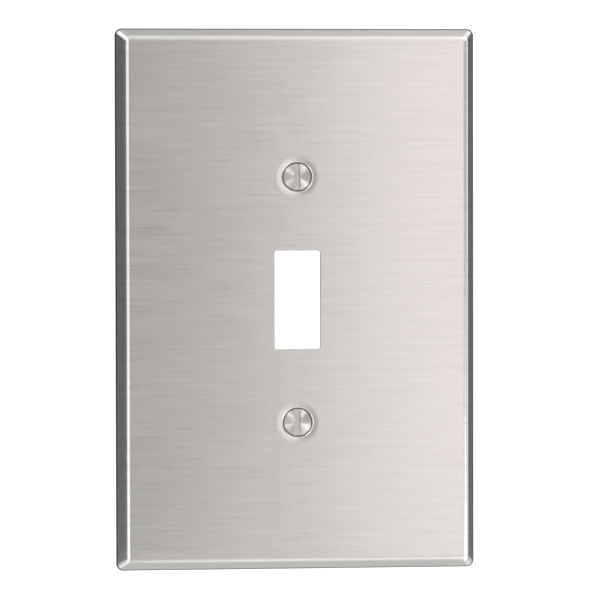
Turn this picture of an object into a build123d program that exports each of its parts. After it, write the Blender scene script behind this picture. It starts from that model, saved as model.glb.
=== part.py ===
"""Oversize one-gang toggle wall plate in stainless sheet, with its two slotted oval-head screws.

Frame: millimetres, +Z up, the face looks along -Y, and the origin is the centre of the plate's
rear rim, on the wall plane Y = 0. The screws run along Y, above and below the toggle opening.
"""

from build123d import *
from math import atan, cos, radians, sin, tan
import os

INCH = 25.4

# Sheet and outline.
PLATE_WIDTH = 3.5 * INCH
PLATE_HEIGHT = 5.25 * INCH
PLATE_DEPTH = 5.7
SHEET = 0.8
BEND_RADIUS = 1.7  # outer skin, where the face turns into the flank
FLANK_SLOPE = 69  # degrees, from the face plane
FLANK_ANGLE = radians(FLANK_SLOPE)
CORNER_RADIUS = 1.8  # outer skin, where two flanks meet
RIM_ROUND = 0.12  # outer edge of the rim, deburred

# Toggle opening.
OPENING_WIDTH = 11.3
OPENING_HEIGHT = 24.1
OPENING_CORNER = 0.7
OPENING_ROLL = 0.2  # die roll on the face side of the punched edge

# Screw holes: dimples pressed into the sheet for 82 degree heads.
SCREW_SPACING = 2.375 * INCH
CONE = radians(41)  # half angle of the dimples and of the heads
DIMPLE_RADIUS = 3.86  # where the front cone would meet the face plane
DIMPLE_DRAW = 0.1  # how far the press draws the sheet in before the cone starts
DRAW_RADIUS = 4.75  # where the drawn-in sheet starts
DRAW_ROLL = 12.0
DIMPLE_ROLL = 0.55  # front radius between the drawn-in sheet and the cone
BACK_ROLL = 0.3  # the same corner on the back
DIMPLE_REACH = 5.5  # the flat sheet is whole outside this radius
HOLE_RADIUS = 1.98

# Screws: number 6, 32 turns to the inch, 5/16 inch from the head's rim to the tip.
THREAD_RADIUS = 0.1372 * INCH / 2
THREAD_PITCH = INCH / 32
THREAD_DEPTH = 0.6134 * THREAD_PITCH
THREAD_CREST = THREAD_PITCH / 8
THREAD_FLANK = radians(30)
NECK_RADIUS = 1.2  # relief under the head, a little less than the thread's root
NECK_LENGTH = 0.8
SCREW_LENGTH = 0.3125 * INCH
TIP_CHAMFER = 0.5
HEAD_RADIUS = 3.38
HEAD_LAND = 0.14  # narrow cylindrical edge of the head's rim
DOME_HEIGHT = 1.12
SLOT_WIDTH = 1.2
SLOT_DEPTH = 1.45  # from the top of the dome
SLOT_EDGE = 0.07
SEAT_GAP = 0.03  # between the two cones, square to them

FACE_Y = -PLATE_DEPTH
SLIT_ALLOWANCE = 1.0  # how far a cutting tool runs past the surface it cuts


def is_slanted(edge):
    """True for the four edges where two flanks meet."""
    return abs((edge @ 0).Y - (edge @ 1).Y) > PLATE_DEPTH / 2


# ---- The pan: an outer block less an inner one, one sheet thickness apart everywhere. ----
rim_overhang = RIM_ROUND * (1 / tan(FLANK_ANGLE / 2) - 1)  # the deburr takes this off each side
with BuildPart() as outer_block:
    with BuildSketch(Plane.XZ):
        Rectangle(PLATE_WIDTH + 2 * rim_overhang, PLATE_HEIGHT + 2 * rim_overhang)
    extrude(amount=PLATE_DEPTH, taper=90 - FLANK_SLOPE)
    fillet(outer_block.edges().filter_by(is_slanted), CORNER_RADIUS)
    fillet(outer_block.faces().sort_by(Axis.Y)[0].edges(), BEND_RADIUS)
    fillet(outer_block.faces().sort_by(Axis.Y)[-1].edges(), RIM_ROUND)

rim_width = SHEET / sin(FLANK_ANGLE) - rim_overhang
with BuildPart() as inner_block:
    with BuildSketch(Plane.XZ):
        Rectangle(PLATE_WIDTH - 2 * rim_width, PLATE_HEIGHT - 2 * rim_width)
    extrude(amount=PLATE_DEPTH - SHEET, taper=90 - FLANK_SLOPE)
    fillet(inner_block.edges().filter_by(is_slanted), CORNER_RADIUS - SHEET)
    fillet(inner_block.faces().sort_by(Axis.Y)[0].edges(), BEND_RADIUS - SHEET)

# ---- The wall plate: pan, toggle opening and two dimpled screw holes. ----
cone_end_y = FACE_Y + (DIMPLE_RADIUS - HOLE_RADIUS) / tan(CONE)
lip_radius = DIMPLE_RADIUS - DIMPLE_DRAW * tan(CONE)
draw_angle = atan(DIMPLE_DRAW / (DRAW_RADIUS - lip_radius))
cone_angle = radians(90) - CONE
across_lip = SHEET / cos((cone_angle - draw_angle) / 2)  # from the front corner to the back one
lip_tilt = (cone_angle + draw_angle) / 2
screw_heights = {"upper_screw": SCREW_SPACING / 2, "lower_screw": -SCREW_SPACING / 2}

with BuildPart() as wall_plate:
    add(outer_block.part)
    add(inner_block.part, mode=Mode.SUBTRACT)

    with BuildSketch(Plane.XZ.offset(PLATE_DEPTH - SHEET - SLIT_ALLOWANCE)):
        RectangleRounded(OPENING_WIDTH, OPENING_HEIGHT, OPENING_CORNER)
        with Locations(*((0, height) for height in screw_heights.values())):
            Circle(DIMPLE_REACH)
    extrude(amount=SHEET + 2 * SLIT_ALLOWANCE, mode=Mode.SUBTRACT)

    for height in screw_heights.values():
        with BuildSketch(Plane.XY.offset(height)) as dimple:
            with BuildLine():
                Polyline(
                    (DIMPLE_REACH, FACE_Y),
                    (DRAW_RADIUS, FACE_Y),
                    (lip_radius, FACE_Y + DIMPLE_DRAW),
                    (HOLE_RADIUS, cone_end_y),
                    (HOLE_RADIUS + SHEET * cos(CONE), cone_end_y + SHEET * sin(CONE)),
                    (
                        lip_radius + across_lip * sin(lip_tilt),
                        FACE_Y + DIMPLE_DRAW + across_lip * cos(lip_tilt),
                    ),
                    (DRAW_RADIUS + SHEET * tan(draw_angle / 2), FACE_Y + SHEET),
                    (DIMPLE_REACH, FACE_Y + SHEET),
                    close=True,
                )
            make_face()
            bends = dimple.vertices().filter_by_position(Axis.X, lip_radius - 0.01, DIMPLE_REACH - 0.01)
            front_draw, front_lip, back_draw, back_lip = bends.sort_by(Axis.Y)
            fillet(front_draw, DRAW_ROLL)
            fillet(front_lip, DIMPLE_ROLL)
            fillet(back_draw, DRAW_ROLL - SHEET)
            fillet(back_lip, BACK_ROLL)
        revolve(axis=Axis((0, 0, height), (0, 1, 0)))

    punched = wall_plate.edges().filter_by_position(Axis.Y, FACE_Y - 0.01, FACE_Y + 0.01)
    punched = punched.filter_by_position(Axis.X, -OPENING_WIDTH / 2 - 0.01, OPENING_WIDTH / 2 + 0.01)
    punched = punched.filter_by_position(Axis.Z, -OPENING_HEIGHT / 2 - 0.01, OPENING_HEIGHT / 2 + 0.01)
    fillet(punched, OPENING_ROLL)

# ---- One screw about the Y axis, standing in its dimple. ----
cone_top = DIMPLE_RADIUS - SEAT_GAP / cos(CONE)  # radius of the head's cone at the face plane
cone_start_y = FACE_Y + (cone_top - HEAD_RADIUS) / tan(CONE)
rim_y = cone_start_y - HEAD_LAND
dome_y = rim_y - DOME_HEIGHT
tip_y = rim_y + SCREW_LENGTH
root_radius = THREAD_RADIUS - THREAD_DEPTH
neck_y = FACE_Y + (cone_top - NECK_RADIUS) / tan(CONE)
thread_y = neck_y + NECK_LENGTH
dome_radius = (HEAD_RADIUS**2 + DOME_HEIGHT**2) / (2 * DOME_HEIGHT)

# The groove between two turns: a V with a flat root, swept from the neck to past the tip.
groove_mouth = THREAD_PITCH - THREAD_CREST
groove_root = groove_mouth - 2 * THREAD_DEPTH * tan(THREAD_FLANK)
groove_rise = THREAD_DEPTH + THREAD_CREST / 2  # clear of the crest, and of the next turn's groove
groove_top = groove_root + 2 * groove_rise * tan(THREAD_FLANK)
groove_start_y = thread_y - groove_mouth / 2
with BuildPart() as groove:
    with BuildLine() as turns:
        Helix(
            pitch=THREAD_PITCH,
            height=tip_y - groove_start_y + groove_mouth / 2,
            radius=root_radius,
            center=(0, groove_start_y, 0),
            direction=(0, 1, 0),
        )
    start = turns.line @ 0
    outward = Vector(start.X, 0, start.Z)
    with BuildSketch(Plane(origin=start, x_dir=outward, z_dir=outward.cross(Vector(0, 1, 0)))):
        with BuildLine():
            Polyline(
                (0, -groove_root / 2),
                (groove_rise, -groove_top / 2),
                (groove_rise, groove_top / 2),
                (0, groove_root / 2),
                close=True,
            )
        make_face()
    sweep(path=turns.line, is_frenet=True)

with BuildPart() as screw:
    with BuildSketch(Plane.XY):
        with BuildLine():
            Line((0, tip_y), (0, dome_y))
            RadiusArc((0, dome_y), (HEAD_RADIUS, rim_y), -dome_radius)
            Polyline(
                (HEAD_RADIUS, rim_y),
                (HEAD_RADIUS, cone_start_y),
                (NECK_RADIUS, neck_y),
                (NECK_RADIUS, thread_y),
                (THREAD_RADIUS, thread_y),
                (THREAD_RADIUS, tip_y - TIP_CHAMFER),
                (THREAD_RADIUS - TIP_CHAMFER, tip_y),
                (0, tip_y),
            )
        make_face()
    revolve(axis=Axis.Y)
    with BuildSketch(Plane.XZ.offset(-(dome_y + SLOT_DEPTH))):
        Rectangle(SLOT_WIDTH, 2 * HEAD_RADIUS + SLIT_ALLOWANCE)
    extrude(amount=SLOT_DEPTH + SLIT_ALLOWANCE, mode=Mode.SUBTRACT)
    domes = screw.faces().filter_by(GeomType.SPHERE)
    fillet(domes.edges().filter_by_position(Axis.X, -SLOT_WIDTH / 2, SLOT_WIDTH / 2), SLOT_EDGE)
    add(groove.part, mode=Mode.SUBTRACT)

# ---- The parts as they stand in the assembly. ----
os.makedirs("parts", exist_ok=True)
wall_plate.part.label = "wall_plate"
export_step(wall_plate.part, "parts/wall_plate.step")

for name, height in screw_heights.items():
    with BuildPart() as placed_screw:
        with Locations((0, 0, height)):
            add(screw.part)
    placed_screw.part.label = name
    export_step(placed_screw.part, f"parts/{name}.step")
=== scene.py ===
"""Oversize stainless wall plate for a toggle switch, with its two slotted oval-head screws.

The plate is one pressed sheet: a flat brushed face, a rolled bend, steep flanks and a sheared rim,
with a punched toggle opening and two dimpled screw holes. Lengths are metres in the frame's axes:
+Z up, the face looks along -Y and the wall plane is Y = 0.
"""

from __future__ import annotations

import logging
from dataclasses import dataclass, field
from enum import Enum
from math import acos, atan2, cos, floor, hypot, pi, radians, sin, sqrt, tan
from typing import Iterable, Sequence

import bmesh
import bpy
from mathutils import Matrix, Vector
from mathutils.geometry import delaunay_2d_cdt

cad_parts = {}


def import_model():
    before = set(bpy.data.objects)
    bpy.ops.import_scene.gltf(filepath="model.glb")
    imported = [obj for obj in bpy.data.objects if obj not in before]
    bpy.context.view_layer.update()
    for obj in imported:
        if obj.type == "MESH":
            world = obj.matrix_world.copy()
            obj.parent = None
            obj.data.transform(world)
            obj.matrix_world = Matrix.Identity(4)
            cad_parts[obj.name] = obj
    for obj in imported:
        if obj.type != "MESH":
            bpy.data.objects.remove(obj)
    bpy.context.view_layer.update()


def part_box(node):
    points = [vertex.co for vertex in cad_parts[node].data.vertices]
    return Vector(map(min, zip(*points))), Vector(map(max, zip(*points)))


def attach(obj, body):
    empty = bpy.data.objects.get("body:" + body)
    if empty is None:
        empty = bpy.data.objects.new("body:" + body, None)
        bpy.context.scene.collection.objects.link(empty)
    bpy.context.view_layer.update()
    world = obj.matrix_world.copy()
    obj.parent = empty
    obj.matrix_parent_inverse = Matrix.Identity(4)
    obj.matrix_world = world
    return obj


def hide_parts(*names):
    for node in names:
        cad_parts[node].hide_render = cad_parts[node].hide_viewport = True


MM = 0.001
INCH = 0.0254
GRAIN_LAYER = "grain"
CREASE = radians(38)  # edges that turn by more than this shade sharp
WELD = 0.0005 * MM  # points nearer than this become one
FILL_TOLERANCE = 0.001 * MM  # the same, where the flat sheet is filled in
DUST_COLOUR = (0.75, 0.73, 0.7, 1.0)
DUST_COVER = 0.5

log = logging.getLogger("wall_plate")

Pair = tuple[float, float]


class Finish(Enum):
    """The surfaces that a piece can show, in the order of its material slots."""

    BRUSHED = "brushed face"
    MILL = "mill back"
    # The sheared edge is coloured far darker than steel: painted shade along the rim and the walls of the
    # holes.
    SHEARED = "sheared edge"
    # The screw seat is coloured dark: painted shade in the gap round each screw head.
    COINED = "seat with painted shade"
    BRIGHT = "bright head"
    MILLED_SLOT = "milled driver slot"
    ROLLED = "rolled thread"


# --------------------------------------------------------------------------------------- shading


def fill_inputs(node: bpy.types.Node, values: dict[str, object]) -> None:
    """Sets a node's unlinked sockets by name.

    Args:
        node: the node to set.
        values: socket name to value.
    """
    for name, value in values.items():
        node.inputs[name].default_value = value


class Tree:
    """Adds and links the nodes of one material or node group."""

    def __init__(self, tree: bpy.types.NodeTree) -> None:
        """Wraps a node tree."""
        self.tree = tree

    def add(self, kind: str, settings: dict[str, object] | None = None, **inputs: object) -> bpy.types.Node:
        """Adds a node.

        Args:
            kind: the node's type, such as "ShaderNodeMath".
            settings: the node's own properties, such as its operation.
            **inputs: sockets by name, underscores for spaces; a socket is linked, anything else is a value.

        Returns:
            The new node.
        """
        node = self.tree.nodes.new(kind)
        for name, value in (settings or {}).items():
            setattr(node, name, value)
        for name, value in inputs.items():
            self.set(node.inputs[name.replace("_", " ")], value)
        return node

    def set(self, socket: bpy.types.NodeSocket, value: object) -> None:
        """Links an output to a socket, or sets the socket's value.

        Args:
            socket: the socket to fill.
            value: an output or a plain value.
        """
        if isinstance(value, bpy.types.NodeSocket):
            self.tree.links.new(value, socket)
        else:
            socket.default_value = value

    def math(self, operation: str, *values: object) -> bpy.types.NodeSocket:
        """Adds a Math node.

        Args:
            operation: the node's operation.
            *values: its operands, each a number or an output.

        Returns:
            The node's output.
        """
        node = self.add("ShaderNodeMath", {"operation": operation})
        for socket, value in zip(node.inputs, values):
            self.set(socket, value)
        return node.outputs[0]

    def remap(self, value: bpy.types.NodeSocket, source: Pair, target: Pair) -> bpy.types.NodeSocket:
        """Maps one range to another, clamped.

        Args:
            value: the output to map.
            source: lowest and highest value in.
            target: what they become.

        Returns:
            The mapped output.
        """
        node = self.add(
            "ShaderNodeMapRange",
            {"clamp": True},
            Value=value,
            From_Min=source[0],
            From_Max=source[1],
            To_Min=target[0],
            To_Max=target[1],
        )
        return node.outputs["Result"]

    def blend(
        self, factor: object, first: Sequence[float] | bpy.types.NodeSocket, second: Sequence[float]
    ) -> bpy.types.NodeSocket:
        """Mixes two colours.

        Args:
            factor: share of the second colour.
            first: colour at factor 0.
            second: colour at factor 1.

        Returns:
            The mixed colour.
        """
        node = self.add("ShaderNodeMix", {"data_type": "RGBA"})
        sockets = {socket.identifier: socket for socket in node.inputs}
        self.set(sockets["Factor_Float"], factor)
        self.set(sockets["A_Color"], first)
        self.set(sockets["B_Color"], second)
        return next(socket for socket in node.outputs if socket.identifier == "Result_Color")


def new_group(name: str, inputs: dict[str, object], outputs: Iterable[str]) -> tuple[Tree, dict, dict]:
    """Starts a shader node group with named sockets.

    Args:
        name: the group's name.
        inputs: socket name to default value; a tuple makes a vector socket.
        outputs: names of its float outputs.

    Returns:
        The group's tree, its input sockets by name and its output sockets by name.
    """
    group = bpy.data.node_groups.new(name, "ShaderNodeTree")
    for label, default in inputs.items():
        vector = isinstance(default, tuple)
        kind = "NodeSocketVector" if vector else "NodeSocketFloat"
        socket = group.interface.new_socket(label, in_out="INPUT", socket_type=kind)
        socket.default_value = default
    for label in outputs:
        group.interface.new_socket(label, in_out="OUTPUT", socket_type="NodeSocketFloat")
    tree = Tree(group)
    entry = tree.add("NodeGroupInput")
    leave = tree.add("NodeGroupOutput")
    return tree, {s.name: s for s in entry.outputs}, {s.name: s for s in leave.inputs}


def grain_group() -> bpy.types.NodeTree:
    """Builds the group for drawn-out lines, such as brushing, rolling or tool marks.

    Returns:
        A group that takes a coordinate in metres, X across the lines and Y along them, and gives
        the lines' height and a broader streak, both from 0 to 1.
    """
    tree, given, result = new_group(
        "Drawn grain",
        {"Coordinate": (0.0, 0.0, 0.0), "Line Width": 0.1 * MM, "Line Length": 10 * MM},
        ("Height", "Streak"),
    )
    parts = tree.add("ShaderNodeSeparateXYZ", Vector=given["Coordinate"])
    across = tree.math("DIVIDE", parts.outputs["X"], given["Line Width"])
    along = tree.math("DIVIDE", parts.outputs["Y"], given["Line Length"])

    def lines(
        width_factor: float, length_factor: float, shift: float, detail: float
    ) -> bpy.types.NodeSocket:
        """Adds one layer of lines.

        Args:
            width_factor: how many times the group's line width.
            length_factor: how many times its line length.
            shift: moves the layer along its lines, so that no two layers match.
            detail: how much finer detail the lines carry.

        Returns:
            The layer's height.
        """
        wide = tree.math("DIVIDE", across, width_factor)
        long = tree.math("MULTIPLY_ADD", along, 1 / length_factor, shift)
        place = tree.add("ShaderNodeCombineXYZ", X=wide, Y=long)
        noise = tree.add(
            "ShaderNodeTexNoise",
            {"noise_dimensions": "2D"},
            Vector=place.outputs[0],
            Scale=1.0,
            Detail=detail,
            Roughness=0.6,
        )
        return noise.outputs["Fac"]

    fine = lines(1.0, 1.0, 0.0, 2.0)
    middle = lines(3.1, 1.7, 7.3, 2.0)
    broad = lines(11.0, 4.0, 19.1, 3.0)
    height = tree.math("ADD", tree.math("MULTIPLY", fine, 0.6), tree.math("MULTIPLY", middle, 0.4))
    streak = tree.math("ADD", tree.math("MULTIPLY", middle, 0.45), tree.math("MULTIPLY", broad, 0.55))
    tree.set(result["Height"], tree.remap(height, (0.2, 0.8), (0.0, 1.0)))
    tree.set(result["Streak"], tree.remap(streak, (0.3, 0.7), (0.0, 1.0)))
    return tree.tree


def handling_group() -> bpy.types.NodeTree:
    """Builds the group for the marks of handling.

    Returns:
        A group that gives soft smudges and sparse specks of dust, both from 0 to 1.
    """
    tree, given, result = new_group(
        "Handling marks",
        {"Coordinate": (0.0, 0.0, 0.0), "Smudge Size": 30 * MM, "Speck Size": 0.15 * MM},
        ("Smudge", "Speck"),
    )
    smudge_scale = tree.math("DIVIDE", 1.0, given["Smudge Size"])
    smudge = tree.add(
        "ShaderNodeTexNoise", Vector=given["Coordinate"], Scale=smudge_scale, Detail=3.0, Distortion=0.4
    )
    tree.set(result["Smudge"], tree.remap(smudge.outputs["Fac"], (0.42, 0.68), (0.0, 1.0)))
    cell = 40.0  # width of a cell, in specks
    empty = 0.6  # share of the cells that have no speck
    speck_scale = tree.math("DIVIDE", 1 / cell, given["Speck Size"])
    cells = tree.add("ShaderNodeTexVoronoi", Vector=given["Coordinate"], Scale=speck_scale, Randomness=1.0)
    chance = tree.add("ShaderNodeSeparateXYZ", Vector=cells.outputs["Color"])
    dot = tree.remap(cells.outputs["Distance"], (0.5 / cell, 1.0 / cell), (1.0, 0.0))
    kept = tree.math("GREATER_THAN", chance.outputs["X"], empty)
    tree.set(result["Speck"], tree.math("MULTIPLY", dot, kept))
    return tree.tree


@dataclass(frozen=True)
class Groups:
    """The node groups that the finishes share."""

    grain: bpy.types.NodeTree
    handling: bpy.types.NodeTree


@dataclass(frozen=True)
class SteelFinish:
    """One finish of bare steel."""

    name: str
    dark: tuple[float, float, float, float]
    light: tuple[float, float, float, float]
    roughness: Pair
    line_width: float
    line_length: float
    line_depth: float
    line_strength: float
    anisotropy: float
    smudge_size: float
    smudge_roughness: float
    radial: bool = False

    def material(self, groups: Groups) -> bpy.types.Material:
        """Builds the material.

        Args:
            groups: the shared node groups.

        Returns:
            A material with its lines, smudges and specks.
        """
        material = bpy.data.materials.new(self.name)
        material.use_nodes = True
        tree = Tree(material.node_tree)
        surface = material.node_tree.nodes["Principled BSDF"]
        fill_inputs(surface, {"Metallic": 1.0, "Anisotropic": self.anisotropy})
        if self.radial:
            tangent = tree.add("ShaderNodeTangent", {"direction_type": "RADIAL", "axis": "Y"})
            fill_inputs(surface, {"Anisotropic Rotation": 0.25})  # a quarter turn, to lie round the axis
        else:
            tangent = tree.add("ShaderNodeTangent", {"direction_type": "UV_MAP", "uv_map": GRAIN_LAYER})
        tree.set(surface.inputs["Tangent"], tangent.outputs["Tangent"])

        flat = tree.add("ShaderNodeUVMap", {"uv_map": GRAIN_LAYER})
        solid = tree.add("ShaderNodeTexCoord")
        grain = tree.add(
            "ShaderNodeGroup",
            {"node_tree": groups.grain},
            Coordinate=flat.outputs["UV"],
            Line_Width=self.line_width,
            Line_Length=self.line_length,
        )
        marks = tree.add(
            "ShaderNodeGroup",
            {"node_tree": groups.handling},
            Coordinate=solid.outputs["Object"],
            Smudge_Size=self.smudge_size,
        )
        smooth, rough = self.roughness
        roughness = tree.math("MULTIPLY_ADD", grain.outputs["Streak"], rough - smooth, smooth)
        roughness = tree.math("MULTIPLY_ADD", marks.outputs["Smudge"], self.smudge_roughness, roughness)
        colour = tree.blend(grain.outputs["Streak"], self.dark, self.light)
        dust = tree.math("MULTIPLY", marks.outputs["Speck"], DUST_COVER)
        colour = tree.blend(dust, colour, DUST_COLOUR)
        bump = tree.add(
            "ShaderNodeBump",
            Strength=self.line_strength,
            Distance=self.line_depth,
            Height=grain.outputs["Height"],
        )
        tree.set(surface.inputs["Base Color"], colour)
        tree.set(surface.inputs["Roughness"], roughness)
        tree.set(surface.inputs["Normal"], bump.outputs["Normal"])
        return material


def steel(red: float, green: float, blue: float) -> tuple[float, float, float, float]:
    """Gives an opaque colour."""
    return (red, green, blue, 1.0)


STEEL_FINISHES: dict[Finish, SteelFinish] = {
    Finish.BRUSHED: SteelFinish(
        name="brushed_stainless",
        dark=steel(0.595, 0.582, 0.568),
        light=steel(0.67, 0.657, 0.642),
        roughness=(0.27, 0.31),
        line_width=0.09 * MM,
        line_length=6 * MM,
        line_depth=0.004 * MM,
        line_strength=0.28,
        anisotropy=0.55,
        smudge_size=32 * MM,
        smudge_roughness=0.015,
    ),
    Finish.MILL: SteelFinish(
        name="mill_stainless",
        dark=steel(0.5, 0.485, 0.47),
        light=steel(0.57, 0.555, 0.54),
        roughness=(0.36, 0.44),
        line_width=0.25 * MM,
        line_length=30 * MM,
        line_depth=0.003 * MM,
        line_strength=0.2,
        anisotropy=0.2,
        smudge_size=18 * MM,
        smudge_roughness=0.06,
    ),
    # Painted shade: the sheared edges' near-black colour stands in for the dark line of shade along the rim
    # and hole walls; their rougher, unbrushed grain is real.
    Finish.SHEARED: SteelFinish(
        name="sheared_stainless_painted_shade",
        dark=steel(0.13, 0.128, 0.125),
        light=steel(0.2, 0.197, 0.192),
        roughness=(0.3, 0.42),
        line_width=0.15 * MM,
        line_length=1.2 * MM,
        line_depth=0.01 * MM,
        line_strength=0.35,
        anisotropy=0.0,
        smudge_size=6 * MM,
        smudge_roughness=0.05,
    ),
    # Painted shade: the dimple's cone is coloured dark to stand in for the shade in the gap round each screw
    # head.
    Finish.COINED: SteelFinish(
        name="seat_painted_shade",
        dark=steel(0.25, 0.245, 0.24),
        light=steel(0.34, 0.333, 0.325),
        roughness=(0.3, 0.42),
        line_width=0.12 * MM,
        line_length=2 * MM,
        line_depth=0.005 * MM,
        line_strength=0.25,
        anisotropy=0.0,
        smudge_size=4 * MM,
        smudge_roughness=0.05,
    ),
    Finish.BRIGHT: SteelFinish(
        name="bright_screw_steel",
        dark=steel(0.54, 0.525, 0.51),
        light=steel(0.64, 0.62, 0.605),
        roughness=(0.33, 0.38),
        line_width=0.12 * MM,
        line_length=6 * MM,
        line_depth=0.002 * MM,
        line_strength=0.2,
        anisotropy=1.0,
        smudge_size=3 * MM,
        smudge_roughness=0.05,
        radial=True,
    ),
    Finish.MILLED_SLOT: SteelFinish(
        name="milled_slot_steel",
        dark=steel(0.56, 0.54, 0.52),
        light=steel(0.68, 0.66, 0.64),
        roughness=(0.3, 0.42),
        line_width=0.08 * MM,
        line_length=4 * MM,
        line_depth=0.006 * MM,
        line_strength=0.4,
        anisotropy=0.0,
        smudge_size=2 * MM,
        smudge_roughness=0.08,
    ),
    Finish.ROLLED: SteelFinish(
        name="rolled_thread_steel",
        dark=steel(0.4, 0.385, 0.37),
        light=steel(0.56, 0.54, 0.52),
        roughness=(0.26, 0.38),
        line_width=0.1 * MM,
        line_length=3 * MM,
        line_depth=0.004 * MM,
        line_strength=0.3,
        anisotropy=0.0,
        smudge_size=2 * MM,
        smudge_roughness=0.08,
    ),
}


# -------------------------------------------------------------------------------------- geometry


@dataclass
class Skin:
    """A closed surface, gathered ring by ring, with a flat coordinate for its grain at each point."""

    points: list[Vector] = field(default_factory=list)
    flat: list[Pair] = field(default_factory=list)
    faces: list[tuple[int, ...]] = field(default_factory=list)
    finishes: list[Finish] = field(default_factory=list)

    def ring(self, points: Iterable[Vector], flat: Iterable[Pair] | None = None) -> list[int]:
        """Adds a row of points.

        Args:
            points: where they are.
            flat: X across the grain and Y along it; the point's own Z and X if left out.

        Returns:
            Their indices.
        """
        points = [point.copy() for point in points]
        start = len(self.points)
        self.points += points
        self.flat += list(flat) if flat is not None else [(p.z, p.x) for p in points]
        return list(range(start, len(self.points)))

    def bridge(self, first: list[int], second: list[int], finish: Finish, closed: bool = True) -> None:
        """Joins two rows of as many points with a strip of faces.

        Args:
            first: one row.
            second: the other.
            finish: what the strip shows.
            closed: True for rings, False for open rows.
        """
        last = len(first) if closed else len(first) - 1
        for i in range(last):
            j = (i + 1) % len(first)
            self.face((first[i], first[j], second[j], second[i]), finish)

    def loft(self, rings: list[list[int]], finish: Finish, closed: bool = True) -> None:
        """Joins each row to the next."""
        for first, second in zip(rings, rings[1:]):
            self.bridge(first, second, finish, closed)

    def face(self, corners: Sequence[int], finish: Finish) -> None:
        """Adds one face."""
        self.faces.append(tuple(corners))
        self.finishes.append(finish)

    def build(self, name: str, materials: dict[Finish, bpy.types.Material]) -> bpy.types.Object:
        """Makes the object.

        Args:
            name: the object's name.
            materials: finish to material.

        Returns:
            A smooth-shaded object with sharp creases, linked to the scene.
        """
        used = [finish for finish in Finish if finish in self.finishes]
        mesh = bpy.data.meshes.new(name)
        mesh.from_pydata([tuple(p) for p in self.points], [], self.faces)
        for finish in used:
            mesh.materials.append(materials[finish])
        for polygon, finish in zip(mesh.polygons, self.finishes):
            polygon.material_index = used.index(finish)
        layer = mesh.uv_layers.new(name=GRAIN_LAYER)
        for loop in mesh.loops:
            layer.data[loop.index].uv = self.flat[loop.vertex_index]
        work = bmesh.new()
        work.from_mesh(mesh)
        bmesh.ops.remove_doubles(work, verts=work.verts, dist=WELD)
        bmesh.ops.dissolve_degenerate(work, edges=work.edges, dist=WELD)
        bmesh.ops.recalc_face_normals(work, faces=work.faces)
        work.to_mesh(mesh)
        work.free()
        mesh.shade_smooth()
        mesh.set_sharp_from_angle(angle=CREASE)
        piece = bpy.data.objects.new(name, mesh)
        bpy.context.scene.collection.objects.link(piece)
        return piece


def spread(low: float, high: float, steps: int) -> list[float]:
    """Gives steps + 1 evenly spaced values from low to high."""
    return [low + (high - low) * i / steps for i in range(steps + 1)]


def between(start: Pair, end: Pair, share: float) -> Pair:
    """Gives the point at that share of the way from start to end."""
    return (start[0] + (end[0] - start[0]) * share, start[1] + (end[1] - start[1]) * share)


@dataclass(frozen=True)
class Outline:
    """A rounded rectangle, square to Y, whose points always come in the same order."""

    half_width: float
    half_height: float
    radius: float
    corner_steps: int = 10
    short_steps: int = 18
    long_steps: int = 26

    def places(self) -> list[tuple[Pair, Pair]]:
        """Walks once round the rectangle.

        Returns:
            For each point, its X and Z, and the X and Z of its outward direction.
        """
        walk: list[tuple[Pair, Pair]] = []
        for quarter in range(4):
            turn = quarter * pi / 2
            sign_x = (1, -1, -1, 1)[quarter]
            sign_z = (1, 1, -1, -1)[quarter]
            centre = (sign_x * (self.half_width - self.radius), sign_z * (self.half_height - self.radius))
            for angle in spread(turn, turn + pi / 2, self.corner_steps):
                out = (cos(angle), sin(angle))
                walk.append(((centre[0] + self.radius * out[0], centre[1] + self.radius * out[1]), out))
            (x, z), out = walk[-1]
            steps = self.short_steps if quarter % 2 == 0 else self.long_steps
            end = (-x, z) if quarter % 2 == 0 else (x, -z)
            for share in spread(0, 1, steps)[1:-1]:
                walk.append((between((x, z), end, share), out))
        return walk

    def points(self, y: float) -> list[Vector]:
        """Gives the outline's points at one depth."""
        return [Vector((x, y, z)) for (x, z), _ in self.places()]


def circle(radius: float, y: float, height: float, steps: int) -> list[Vector]:
    """Gives points round the Y axis, raised by a height."""
    return [
        Vector((radius * cos(2 * pi * i / steps), y, height + radius * sin(2 * pi * i / steps)))
        for i in range(steps)
    ]


def bent(corners: Sequence[Pair], radii: Sequence[float], steps: int = 8) -> list[Pair]:
    """Rounds the inner corners of a section line.

    Args:
        corners: the line's ends and corners.
        radii: a radius for each corner between the ends.
        steps: how many steps each round takes.

    Returns:
        The points of the rounded line.
    """
    points = [corners[0]]
    for before, corner, after, radius in zip(corners, corners[1:], corners[2:], radii):
        here = Vector(corner)
        back = (Vector(before) - here).normalized()
        ahead = (Vector(after) - here).normalized()
        half = back.angle(ahead) / 2
        centre = here + (back + ahead).normalized() * radius / sin(half)
        start = here + back * radius / tan(half) - centre
        end = here + ahead * radius / tan(half) - centre
        for share in spread(0, 1, steps):
            toward = start.lerp(end, share).normalized()
            points.append(tuple(centre + toward * radius))
    return [*points, corners[-1]]


def inside(point: Pair, loop: Sequence[Pair]) -> bool:
    """Tells if a point lies within a closed loop, by counting crossings.

    Args:
        point: the point.
        loop: the loop's corners, in order.

    Returns:
        True if it lies within.
    """
    x, z = point
    odd = False
    for (ax, az), (bx, bz) in zip(loop, [*loop[1:], loop[0]]):
        if (az > z) != (bz > z) and x < ax + (z - az) * (bx - ax) / (bz - az):
            odd = not odd
    return odd


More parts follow.
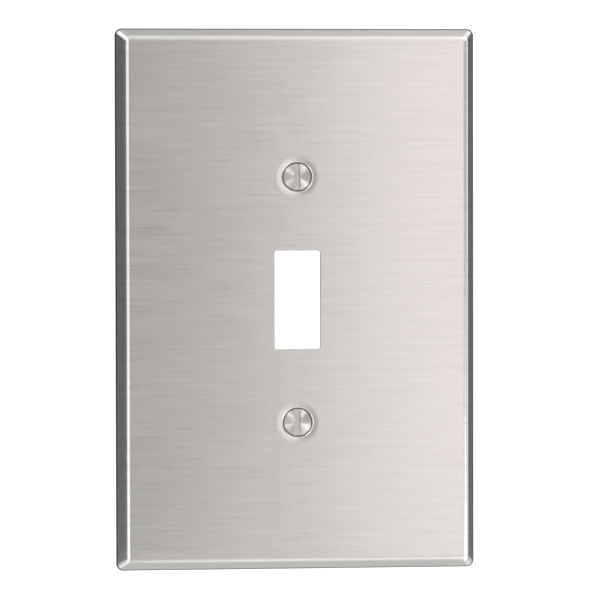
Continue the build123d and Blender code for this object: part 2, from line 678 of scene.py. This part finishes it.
@dataclass
class WallPlate:
    """The pressed sheet, lofted through rounded outlines from its rim to its face and back."""

    width: float
    height: float
    depth: float
    screw_heights: tuple[float, float]
    sheet: float = 0.8 * MM
    bend: float = 1.7 * MM
    bend_steps: int = 14
    flank: float = radians(69)
    flank_steps: int = 6
    corner: float = 1.68 * MM
    inner_corner: float = 0.93 * MM
    least_corner: float = 0.1 * MM
    rim_round: float = 0.12 * MM
    rim_rows: int = 6
    flat_margin: float = 0.5 * MM
    opening: Pair = (11.3 * MM, 24.1 * MM)
    opening_corner: float = 0.7 * MM
    opening_roll: float = 0.2 * MM
    roll_steps: int = 5
    flat_ring: float = 0.06 * MM  # kept flat round the roll, so that its shading ends there
    burr: float = 0.04 * MM
    cone: float = radians(41)
    cone_shares: tuple[float, ...] = (0.25, 0.5, 0.75, 0.96, 1.0)
    dimple: float = 3.86 * MM
    dimple_draw: float = 0.1 * MM
    draw_radius: float = 4.75 * MM
    draw_roll: float = 12.0 * MM
    lip_rolls: Pair = (0.55 * MM, 0.3 * MM)
    dimple_reach: float = 5.5 * MM
    hole: float = 1.98 * MM
    hole_steps: int = 72
    grid: float = 4.0 * MM
    skin: Skin = field(default_factory=Skin)

    @property
    def overhang(self) -> float:
        """How far the flank's plane would pass the deburred rim."""
        return self.rim_round * (1 / tan(self.flank / 2) - 1)

    def side(self, depth: float, bend: float, start: float) -> list[Pair]:
        """Gives the bend and flank of one side of the sheet.

        Args:
            depth: from the wall plane to this side of the face.
            bend: this side's bend radius.
            start: inset of the flank's plane at the wall.

        Returns:
            Inset and Y of each point, from the face towards the wall.
        """
        straight = (depth - bend * (1 - cos(self.flank))) / tan(self.flank)
        reach = start + straight + bend * sin(self.flank)
        rows = [(reach + self.flat_margin, -depth)]
        rows += [
            (reach - bend * sin(turn), -depth + bend * (1 - cos(turn)))
            for turn in spread(0, self.flank, self.bend_steps)
        ]
        bend_end = rows[-1]
        foot_y = -2 * self.rim_round
        foot = (start - foot_y / tan(self.flank), foot_y)
        rows += [between(bend_end, foot, share) for share in spread(0, 1, self.flank_steps)[1:]]
        return rows

    def rim(self) -> list[Pair]:
        """Gives the deburred outer edge of the rim, from the flank to the wall plane."""
        radius = self.rim_round
        return [
            (radius * (1 - cos(turn)), -radius + radius * sin(turn))
            for turn in spread(self.flank - pi / 2, pi / 2, self.rim_rows - 1)
        ]

    def wrap(self, rows: list[Pair], corner: float) -> list[list[int]]:
        """Turns a section into rings round the plate.

        Args:
            rows: inset and Y of each ring, from the face towards the rim.
            corner: corner radius of the flanks, which shrinks as the bend turns in.

        Returns:
            The rings' indices.
        """
        bend_end = rows[self.bend_steps + 1][0]
        rings = []
        run = 0.0
        base: list[tuple[Pair, Pair]] = []
        for step, (inset, y) in enumerate(rows):
            if step:
                before = rows[step - 1]
                run += hypot(inset - before[0], y - before[1])
            radius = max(corner - max(inset - bend_end, 0.0), self.least_corner)
            outline = Outline(self.width / 2 - inset, self.height / 2 - inset, radius)
            places = outline.places()
            base = base or places
            flat = [(z + out[1] * run, x + out[0] * run) for ((x, z), out) in base]
            rings.append(self.skin.ring([Vector((x, y, z)) for (x, z), _ in places], flat))
        return rings

    def hole_rings(self, side: int) -> dict[float, list[list[int]]]:
        """Makes both dimples on one side of the sheet.

        Args:
            side: 0 for the front, 1 for the back.

        Returns:
            For each screw's height, its rings from the flat sheet to the hole's edge.
        """
        through = side * self.sheet
        cone_angle = pi / 2 - self.cone
        lip = self.dimple - self.dimple_draw * tan(self.cone)
        draw_angle = atan2(self.dimple_draw, self.draw_radius - lip)
        across = through / cos((cone_angle - draw_angle) / 2)
        tilt = (cone_angle + draw_angle) / 2
        face_y = -self.depth
        end_y = face_y + (self.dimple - self.hole) / tan(self.cone)
        corners = [
            (self.dimple_reach, face_y + through),
            (self.draw_radius + through * tan(draw_angle / 2), face_y + through),
            (lip + across * sin(tilt), face_y + self.dimple_draw + across * cos(tilt)),
            (self.hole + through * cos(self.cone), end_y + through * sin(self.cone)),
        ]
        rows = bent(corners, (self.draw_roll - through, self.lip_rolls[side]))
        foot, end = rows[-2], rows[-1]
        rows[-1:] = [between(foot, end, share) for share in self.cone_shares]
        return {
            height: [self.skin.ring(circle(r, y, height, self.hole_steps)) for r, y in rows]
            for height in self.screw_heights
        }

    def opening_ring(self, grow: float, y: float) -> list[int]:
        """Adds a ring round the toggle opening.

        Args:
            grow: how far outside the opening it lies.
            y: its place in the sheet's depth.

        Returns:
            The ring's indices.
        """
        half_width, half_height = (size / 2 + grow for size in self.opening)
        corner = self.opening_corner + grow
        outline = Outline(half_width, half_height, corner, corner_steps=6, short_steps=4, long_steps=8)
        return self.skin.ring(outline.points(y))

    def sheet_face(self, outer: list[int], holes: list[list[int]], finish: Finish) -> None:
        """Fills the flat sheet between its outline and its holes.

        Args:
            outer: the ring round the flat part.
            holes: the rings that stay open.
            finish: what it shows.
        """
        loops = [outer, *holes]
        border = [[(self.skin.points[i].x, self.skin.points[i].z) for i in loop] for loop in loops]
        y = self.skin.points[outer[0]].y

        def on_sheet(place: Pair) -> bool:
            """Tells if a place lies within the outline and outside every hole."""
            return inside(place, border[0]) and not any(inside(place, loop) for loop in border[1:])

        grid_rows = int(self.height / 2 / self.grid)
        grid_columns = int(self.width / 2 / self.grid)
        places = [
            (column * self.grid, (row + 0.5) * self.grid)
            for row in range(-grid_rows - 1, grid_rows + 1)
            for column in range(-grid_columns, grid_columns + 1)
        ]
        spare = [
            place
            for place in places
            if on_sheet(place)
            and min(hypot(place[0] - x, place[1] - z) for loop in border for x, z in loop) > self.grid / 2
        ]
        known = [i for loop in loops for i in loop]
        known += self.skin.ring([Vector((x, y, z)) for x, z in spare])
        flat = [Vector((self.skin.points[i].x, self.skin.points[i].z)) for i in known]
        edges = []
        start = 0
        for loop in loops:
            edges += [(start + i, start + (i + 1) % len(loop)) for i in range(len(loop))]
            start += len(loop)
        _, _, triangles, origins, _, _ = delaunay_2d_cdt(flat, edges, [], 0, FILL_TOLERANCE)
        for triangle in triangles:
            corners = [origins[i][0] for i in triangle]
            centre = sum((flat[i] for i in corners), Vector((0, 0))) / 3
            if on_sheet(tuple(centre)):
                self.skin.face([known[i] for i in corners], finish)

    def make(self, materials: dict[Finish, bpy.types.Material]) -> bpy.types.Object:
        """Builds the plate.

        Args:
            materials: finish to material.

        Returns:
            The plate, in place of its CAD node.
        """
        skin = self.skin
        rim_inset = self.sheet / sin(self.flank) - self.overhang
        outer_rows = self.side(self.depth, self.bend, -self.overhang)
        outer = self.wrap(outer_rows[:-1] + self.rim(), self.corner)
        inner_rows = self.side(self.depth - self.sheet, self.bend - self.sheet, rim_inset)
        inner = self.wrap(inner_rows + [(rim_inset, 0.0)], self.inner_corner)
        skin.loft(outer[: -self.rim_rows], Finish.BRUSHED)
        # Painted shade: the rim band takes the dark sheared finish, a painted dark line round the plate.
        skin.loft(outer[-self.rim_rows - 1 :], Finish.SHEARED)
        skin.loft(inner, Finish.MILL)
        skin.bridge(outer[-1], inner[-1], Finish.SHEARED)

        front, back = self.hole_rings(0), self.hole_rings(1)
        cone_rows = len(self.cone_shares)
        for height in self.screw_heights:
            skin.loft(front[height][:-cone_rows], Finish.BRUSHED)
            # Painted shade: the dimple's cone takes the dark seat finish, a painted dark ring round each
            # head.
            skin.loft(front[height][-cone_rows - 1 :], Finish.COINED)
            skin.loft(back[height], Finish.MILL)
            skin.bridge(front[height][-1], back[height][-1], Finish.SHEARED)

        roll = self.opening_roll
        lip = [self.opening_ring(roll + self.flat_ring, -self.depth)]
        lip += [
            self.opening_ring(roll * (1 - sin(turn)), -self.depth + roll * (1 - cos(turn)))
            for turn in spread(0, pi / 2, self.roll_steps)
        ]
        wall = [
            lip[-1],
            self.opening_ring(0.0, -self.depth + self.sheet - self.burr),
            self.opening_ring(self.burr, -self.depth + self.sheet),
        ]
        skin.loft(lip, Finish.BRUSHED)
        skin.loft(wall, Finish.SHEARED)

        self.sheet_face(outer[0], [lip[0], *(rings[0] for rings in front.values())], Finish.BRUSHED)
        self.sheet_face(inner[0], [wall[-1], *(rings[0] for rings in back.values())], Finish.MILL)
        return skin.build("wall_plate_steel", materials)


@dataclass
class OvalHeadScrew:
    """A slotted oval-head machine screw along Y, built about its own axis and then raised."""

    tip: float
    height: float
    length: float = 0.3125 * INCH
    head: float = 3.38 * MM
    dome: float = 1.12 * MM
    land: float = 0.14 * MM
    cone: float = radians(41)
    neck: float = 1.2 * MM
    neck_length: float = 0.8 * MM
    slot_width: float = 1.2 * MM
    slot_depth: float = 1.45 * MM
    lip: float = 0.07 * MM
    lip_steps: int = 4
    crest: float = 0.1372 * INCH / 2
    pitch: float = INCH / 32
    thread_flank: float = radians(30)
    chamfer: float = 0.5 * MM
    arc_steps: int = 26
    floor_steps: int = 12
    skin: Skin = field(default_factory=Skin)

    @property
    def rim_y(self) -> float:
        """Where the dome meets the head's edge."""
        return self.tip - self.length

    @property
    def sphere(self) -> float:
        """Radius of the dome's sphere."""
        return (self.head**2 + self.dome**2) / (2 * self.dome)

    @property
    def sphere_y(self) -> float:
        """Centre of the dome's sphere."""
        return self.rim_y - self.dome + self.sphere

    @property
    def floor_y(self) -> float:
        """Floor of the driver slot."""
        return self.rim_y - self.dome + self.slot_depth

    @property
    def lip_angle(self) -> float:
        """Direction from +X in which the dome ends at the slot's lip, on the head's rim."""
        start = (self.slot_width / 2 + self.lip) * self.sphere / (self.sphere - self.lip)
        return acos(start / self.head)

    @property
    def thread_depth(self) -> float:
        """Depth of the thread, from crest to root."""
        return 0.6134 * self.pitch

    @property
    def half_flat(self) -> float:
        """Half the width of the thread's flat crest."""
        return self.pitch / 8 / 2

    def head_radius(self, y: float) -> float:
        """Gives the head's radius below its rim."""
        return self.head - max(y - self.rim_y - self.land, 0.0) * tan(self.cone)

    def angles(self, radius: float) -> list[float]:
        """Gives the directions of one side of a ring, from slot wall to slot wall.

        Args:
            radius: the ring's radius.

        Returns:
            Angles from +X, the dome's own directions between the two at the walls.
        """
        wall = acos(self.slot_width / 2 / radius)
        return [-wall, *spread(-self.lip_angle, self.lip_angle, 2 * self.arc_steps), wall]

    def turned(self, points: Sequence[Vector]) -> list[Pair]:
        """Gives grain coordinates that follow a lathe's marks round the axis."""
        return [(hypot(p.x, p.z) + p.y, atan2(p.z, p.x) * self.head) for p in points]

    def around(self, points: Iterable[Vector]) -> list[int]:
        """Adds a row of points with turned grain."""
        points = list(points)
        return self.skin.ring(points, self.turned(points))

    def ring(self, radius: float, y: float, angles: Iterable[float]) -> list[int]:
        """Adds a row of points round the axis, in those directions."""
        return self.around(Vector((radius * cos(a), y, radius * sin(a))) for a in angles)

    def arc(self, radius: float, y: float, side: int) -> list[Vector]:
        """Gives one side of a ring from low Z to high Z, where side is 1 for +X and -1 for -X."""
        return [
            Vector((side * radius * cos(angle), y, radius * sin(angle))) for angle in self.angles(radius)
        ]

    def dome_half(self, side: int) -> tuple[list[int], list[list[int]]]:
        """Makes one half of the dome with its rounded slot lip.

        Args:
            side: 1 for +X, -1 for -X.

        Returns:
            The row along the rim, and the lip's rows from the dome to the slot's wall.
        """
        rows = []
        for step in range(self.arc_steps + 1):
            x = self.head * cos(self.lip_angle * (1 - step / self.arc_steps))
            reach = sqrt(max(self.head**2 - x**2, 0.0))
            across = [reach * sin(turn) for turn in spread(-pi / 2, pi / 2, 2 * self.floor_steps)]
            rows.append(
                self.around(
                    Vector((side * x, self.sphere_y - sqrt(self.sphere**2 - x**2 - z**2), z)) for z in across
                )
            )
        self.skin.loft(rows, Finish.BRIGHT, closed=False)

        centre = Vector((0, self.sphere_y, 0))
        lip_rows = [rows[0]]
        for turn in spread(0, pi / 2, self.lip_steps)[1:]:
            row = []
            for index in rows[0]:
                toward = (self.skin.points[index] - centre).normalized()
                away = toward * cos(turn) + Vector((-side, 0, 0)) * sin(turn)
                row.append(centre + toward * (self.sphere - self.lip) + away.normalized() * self.lip)
            lip_rows.append(self.around(row))
        self.skin.loft(lip_rows, Finish.BRIGHT, closed=False)
        return [row[0] for row in rows] + [row[-1] for row in reversed(rows[:-1])], lip_rows

    def head_half(self, side: int) -> list[int]:
        """Makes one half of the head above the slot's floor.

        Args:
            side: 1 for +X, -1 for -X.

        Returns:
            Its row at the level of the slot's floor.
        """
        rim, lip_rows = self.dome_half(side)
        edge = self.arc(self.head, self.rim_y, side)
        low, high = self.around([edge[0]])[0], self.around([edge[-1]])[0]
        rows = [[low, *rim, high]]
        levels = (self.rim_y + self.land, (self.rim_y + self.land + self.floor_y) / 2, self.floor_y)
        rows += [self.around(self.arc(self.head_radius(y), y, side)) for y in levels]
        self.skin.loft(rows, Finish.BRIGHT, closed=False)
        self.skin.face([*(row[0] for row in lip_rows), low], Finish.BRIGHT)
        self.skin.face([*(row[-1] for row in lip_rows), high], Finish.BRIGHT)
        wall = [*lip_rows[-1], *(row[-1] for row in rows), *(row[0] for row in reversed(rows))]
        self.skin.face(self.skin.ring(self.skin.points[i] for i in wall), Finish.MILLED_SLOT)
        return rows[-1]

    def thread_radius(self, y: float, angle: float, start: float) -> float:
        """Gives the thread's radius.

        Args:
            y: place along the screw.
            angle: direction from +X.
            start: where the thread begins.

        Returns:
            The radius of the crest, flank or root there, or of the tip's chamfer.
        """
        root = self.crest - self.thread_depth
        place = (y - start) / self.pitch - angle / (2 * pi)
        from_crest = abs(place - floor(place + 0.5)) * self.pitch
        radius = self.crest - max(from_crest - self.half_flat, 0.0) / tan(self.thread_flank)
        return min(max(radius, root), self.crest - (y - (self.tip - self.chamfer)))

    def thread(self, columns: list[float], start: float) -> tuple[list[int], list[int]]:
        """Makes the helical thread, with its rows laid along the helix.

        Args:
            columns: directions of the columns of points, once round.
            start: where the thread begins.

        Returns:
            Its first and last ring.
        """
        flat = self.half_flat
        run = self.thread_depth * tan(self.thread_flank)
        steps = [-flat, flat, flat + run / 2, flat + run]
        steps += [self.pitch - value for value in (flat + run, flat + run / 2)]
        turns = int((self.tip - start) / self.pitch)
        grid = []
        for turn in range(-2, turns + 3):  # the rows past each end are pressed flat onto it
            for step in steps:
                row = []
                for angle in columns:
                    y = start + (turn + angle / (2 * pi)) * self.pitch + step
                    y = min(max(y, start), self.tip)
                    radius = self.thread_radius(y, angle, start)
                    row.append(Vector((radius * cos(angle), y, radius * sin(angle))))
                grid.append(self.around(row))
        for lower, upper in zip(grid, grid[1:]):
            self.skin.bridge(lower, upper, Finish.ROLLED, closed=False)
        lead = len(steps)
        last = len(columns) - 1
        for k in range(len(grid) - lead - 1):
            corners = (grid[k][last], grid[k + lead][0], grid[k + lead + 1][0], grid[k + 1][last])
            self.skin.face(corners, Finish.ROLLED)
        return grid[0], grid[-1]

    def make(self, name: str, materials: dict[Finish, bpy.types.Material]) -> bpy.types.Object:
        """Builds the screw.

        Args:
            name: the piece's name.
            materials: finish to material.

        Returns:
            The screw, in place of its CAD node.
        """
        skin = self.skin
        right, left = self.head_half(1), self.head_half(-1)
        floor_radius = self.head_radius(self.floor_y)
        side = self.angles(floor_radius)
        end = side[-1]
        top_gap = spread(end, pi - end, self.floor_steps)[1:-1]
        low_gap = spread(pi + end, 2 * pi - end, self.floor_steps)[1:-1]
        columns = [*side, *top_gap, *(pi - angle for angle in reversed(side)), *low_gap]
        top_edge = self.ring(floor_radius, self.floor_y, top_gap)
        low_edge = self.ring(floor_radius, self.floor_y, low_gap)
        whole = [*right, *top_edge, *reversed(left), *low_edge]
        floor_edge = [right[-1], *top_edge, left[-1], left[0], *low_edge, right[0]]
        skin.face(skin.ring(skin.points[i] for i in floor_edge), Finish.MILLED_SLOT)

        neck_y = self.rim_y + self.land + (self.head - self.neck) / tan(self.cone)
        start = neck_y + self.neck_length
        middle = (self.floor_y + neck_y) / 2
        cone_middle = self.ring(self.head_radius(middle), middle, columns)
        neck_start = self.ring(self.neck, neck_y, columns)
        skin.loft([whole, cone_middle, neck_start], Finish.BRIGHT)
        neck_end = self.ring(self.neck, start, columns)
        skin.bridge(neck_start, neck_end, Finish.ROLLED)
        first, last = self.thread(columns, start)
        skin.bridge(neck_end, first, Finish.ROLLED)
        skin.face(last, Finish.ROLLED)
        for point in skin.points:
            point.z += self.height
        return skin.build(name, materials)


# ---------------------------------------------------------------------------------------- studio


@dataclass(frozen=True)
class SoftBox:
    """One area light that faces the plate's middle unless it is given a target."""

    name: str
    place: tuple[float, float, float]
    size: Pair
    radiance: float
    target: tuple[float, float, float] = (0.0, 0.0, 0.0)
    tint: tuple[float, float, float] = (1.0, 1.0, 1.0)

    def hang(self) -> None:
        """Adds the light, unseen by the camera."""
        lamp = bpy.data.lights.new(self.name, "AREA")
        lamp.shape = "RECTANGLE"
        lamp.size, lamp.size_y = self.size
        lamp.energy = self.radiance * pi * self.size[0] * self.size[1]
        lamp.color = self.tint
        light = bpy.data.objects.new(self.name, lamp)
        light.location = self.place
        aim = Vector(self.target) - Vector(self.place)
        light.rotation_mode = "QUATERNION"
        light.rotation_quaternion = aim.to_track_quat("-Z", "Y")
        light.visible_camera = False
        bpy.context.scene.collection.objects.link(light)


@dataclass(frozen=True)
class Camera:
    """A long lens on a stand, turned round the object."""

    azimuth: float = radians(-6.33)
    elevation: float = radians(1.78)
    roll: float = radians(-0.12)
    distance: float = 1.065
    lens: float = 259.5
    shift: Pair = (0.0061, -0.0009)

    def place(self, target: Vector) -> None:
        """Adds the camera and makes it the scene's.

        Args:
            target: the point that it looks at.
        """
        data = bpy.data.cameras.new("camera")
        data.lens = self.lens
        data.shift_x, data.shift_y = self.shift
        camera = bpy.data.objects.new("camera", data)
        back = Vector(
            (
                sin(self.azimuth) * cos(self.elevation),
                -cos(self.azimuth) * cos(self.elevation),
                sin(self.elevation),
            )
        )
        camera.location = target + back * self.distance
        camera.rotation_mode = "QUATERNION"
        turn = Matrix.Rotation(self.roll, 3, "Z").to_quaternion()
        camera.rotation_quaternion = (-back).to_track_quat("-Z", "Y") @ turn
        bpy.context.scene.collection.objects.link(camera)
        bpy.context.scene.camera = camera


@dataclass(frozen=True)
class Studio:
    """A pale floor under a wide overhead glow, with dim sides and soft boxes all round."""

    floor_drop: float = 0.09
    floor_radius: float = 0.72
    floor_fade: Pair = (0.45, 0.98)  # where it fades out, in shares of its radius
    floor_colour: tuple[float, float, float, float] = (0.64, 0.64, 0.635, 1.0)
    floor_roughness: float = 0.7
    backdrop: float = 1.2  # what the camera sees past the object
    side_glow: float = 0.16
    overhead_glow: float = 1.0
    glow_edge: Pair = (0.42, 0.72)  # how steep a direction has to be for the overhead glow
    rear_edge: Pair = (0.0, 0.75)  # how far back one has to point for the rear's share of it
    glow_rear: Pair = (1.0, 0.5)
    panels: tuple[SoftBox, ...] = (
        SoftBox("front_fill", (0.0, -1.7, 0.0), (2.4, 2.4), 0.28),
        SoftBox(
            "right_strip", (0.12, -0.5, 0.0), (0.12, 0.9), 1.08, (0.12, 0.0, 0.0), tint=(1.0, 0.915, 0.89)
        ),
        SoftBox("right_fill", (0.54, -0.45, 0.0), (0.5, 0.8), 0.38),
        SoftBox("right_side", (0.7, -0.07, 0.0), (0.37, 0.8), 1.1),
        SoftBox("left_panel", (-0.42, -0.56, 0.0), (0.6, 0.8), 1.0),
        SoftBox("upper_left", (-0.5, 0.17, 0.48), (0.5, 0.35), 1.5),
        SoftBox("upper_right", (0.5, 0.17, 0.48), (0.5, 0.35), 1.4),
        SoftBox("rear_fill", (0.0, 1.5, 0.3), (0.7, 0.9), 0.4),
        SoftBox("overhead_right", (0.26, -0.16, 0.42), (0.36, 0.36), 0.75),
        SoftBox("upper_rear_right", (0.21, 0.3, 0.35), (0.36, 0.3), 0.26),
        SoftBox("kick_upper_left", (-0.2, -0.2, 0.2), (0.14, 0.14), 2.0),
        SoftBox("kick_upper_right", (0.2, -0.19, 0.2), (0.13, 0.13), 1.4),
        SoftBox("kick_lower_left", (-0.2, -0.2, -0.14), (0.13, 0.13), 2.1),
        SoftBox("kick_lower_right", (0.2, -0.18, -0.14), (0.15, 0.15), 3.6),
        SoftBox("low_front", (0.09, -0.09, -0.15), (0.24, 0.11), 0.5, (0.09, -0.09, 0.0)),
        SoftBox("low_left", (-0.14, -0.01, -0.15), (0.1, 0.18), 0.9, (-0.14, -0.01, 0.0)),
        SoftBox("low_right", (0.14, -0.03, -0.15), (0.14, 0.2), 1.2, (0.14, -0.03, 0.0)),
    )

    def surroundings(self) -> None:
        """Makes the world: white to look at, and as light bright overhead and dim at the sides."""
        world = bpy.data.worlds.new("studio")
        bpy.context.scene.world = world
        world.use_nodes = True
        tree = Tree(world.node_tree)
        background = world.node_tree.nodes["Background"]
        coordinate = tree.add("ShaderNodeTexCoord")
        parts = tree.add("ShaderNodeSeparateXYZ", Vector=coordinate.outputs["Generated"])
        steepness = tree.math("ABSOLUTE", parts.outputs["Z"])
        glow = tree.remap(steepness, self.glow_edge, (0.0, self.overhead_glow))
        rear = tree.remap(parts.outputs["Y"], self.rear_edge, self.glow_rear)
        glow = tree.math("MULTIPLY_ADD", glow, rear, self.side_glow)
        seen = tree.add("ShaderNodeLightPath").outputs["Is Camera Ray"]
        white = tree.math("MULTIPLY", seen, self.backdrop)
        tree.set(background.inputs["Color"], (1.0, 1.0, 1.0, 1.0))
        tree.set(background.inputs["Strength"], tree.math("MAXIMUM", glow, white))

    def floor(self, level: float) -> None:
        """Adds the floor, a disc that fades out at its edge.

        Args:
            level: its height.
        """
        mesh = bpy.data.meshes.new("floor")
        work = bmesh.new()
        bmesh.ops.create_circle(work, cap_ends=True, radius=self.floor_radius, segments=96)
        work.to_mesh(mesh)
        work.free()
        disc = bpy.data.objects.new("floor", mesh)
        disc.location.z = level
        bpy.context.scene.collection.objects.link(disc)
        material = bpy.data.materials.new("pale_floor")
        material.use_nodes = True
        tree = Tree(material.node_tree)
        surface = material.node_tree.nodes["Principled BSDF"]
        fill_inputs(surface, {"Base Color": self.floor_colour, "Roughness": self.floor_roughness})
        place = tree.add("ShaderNodeTexCoord").outputs["Object"]
        length = tree.add("ShaderNodeVectorMath", {"operation": "LENGTH"}, Vector=place)
        start, end = (self.floor_radius * share for share in self.floor_fade)
        fade = tree.remap(length.outputs["Value"], (start, end), (1.0, 0.0))
        tree.set(surface.inputs["Alpha"], fade)
        mesh.materials.append(material)

    def build(self, lowest: float) -> None:
        """Sets up the world, the floor and the lights.

        Args:
            lowest: height of the object's lowest point.
        """
        self.surroundings()
        self.floor(lowest - self.floor_drop)
        for panel in self.panels:
            panel.hang()
        bpy.context.scene.view_settings.view_transform = "Standard"


# ------------------------------------------------------------------------------------------ main


def box_middle(box: tuple[Vector, Vector]) -> Vector:
    """Gives the middle of a box."""
    return (Vector(box[0]) + Vector(box[1])) / 2


def main() -> None:
    """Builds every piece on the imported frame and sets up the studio."""
    logging.basicConfig(level=logging.INFO, format="%(name)s: %(message)s")
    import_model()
    groups = Groups(grain_group(), handling_group())
    materials = {finish: look.material(groups) for finish, look in STEEL_FINISHES.items()}

    low, high = (Vector(corner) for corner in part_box("wall_plate"))
    screws = {name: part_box(name) for name in ("upper_screw", "lower_screw")}
    heights = {name: box_middle(box).z for name, box in screws.items()}
    size = high - low
    plate = WallPlate(size.x, size.z, size.y, tuple(heights.values())).make(materials)
    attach(plate, "plate")
    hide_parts("wall_plate")
    log.info("%s: %d faces", plate.name, len(plate.data.polygons))

    for name, box in screws.items():
        screw = OvalHeadScrew(tip=Vector(box[1]).y, height=heights[name]).make(f"{name}_steel", materials)
        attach(screw, name)
        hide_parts(name)
        log.info("%s: %d faces", screw.name, len(screw.data.polygons))

    Camera().place(Vector((0.0, box_middle(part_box("wall_plate")).y, 0.0)))
    Studio().build(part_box("wall_plate")[0][2])


if __name__ == "__main__":
    main()
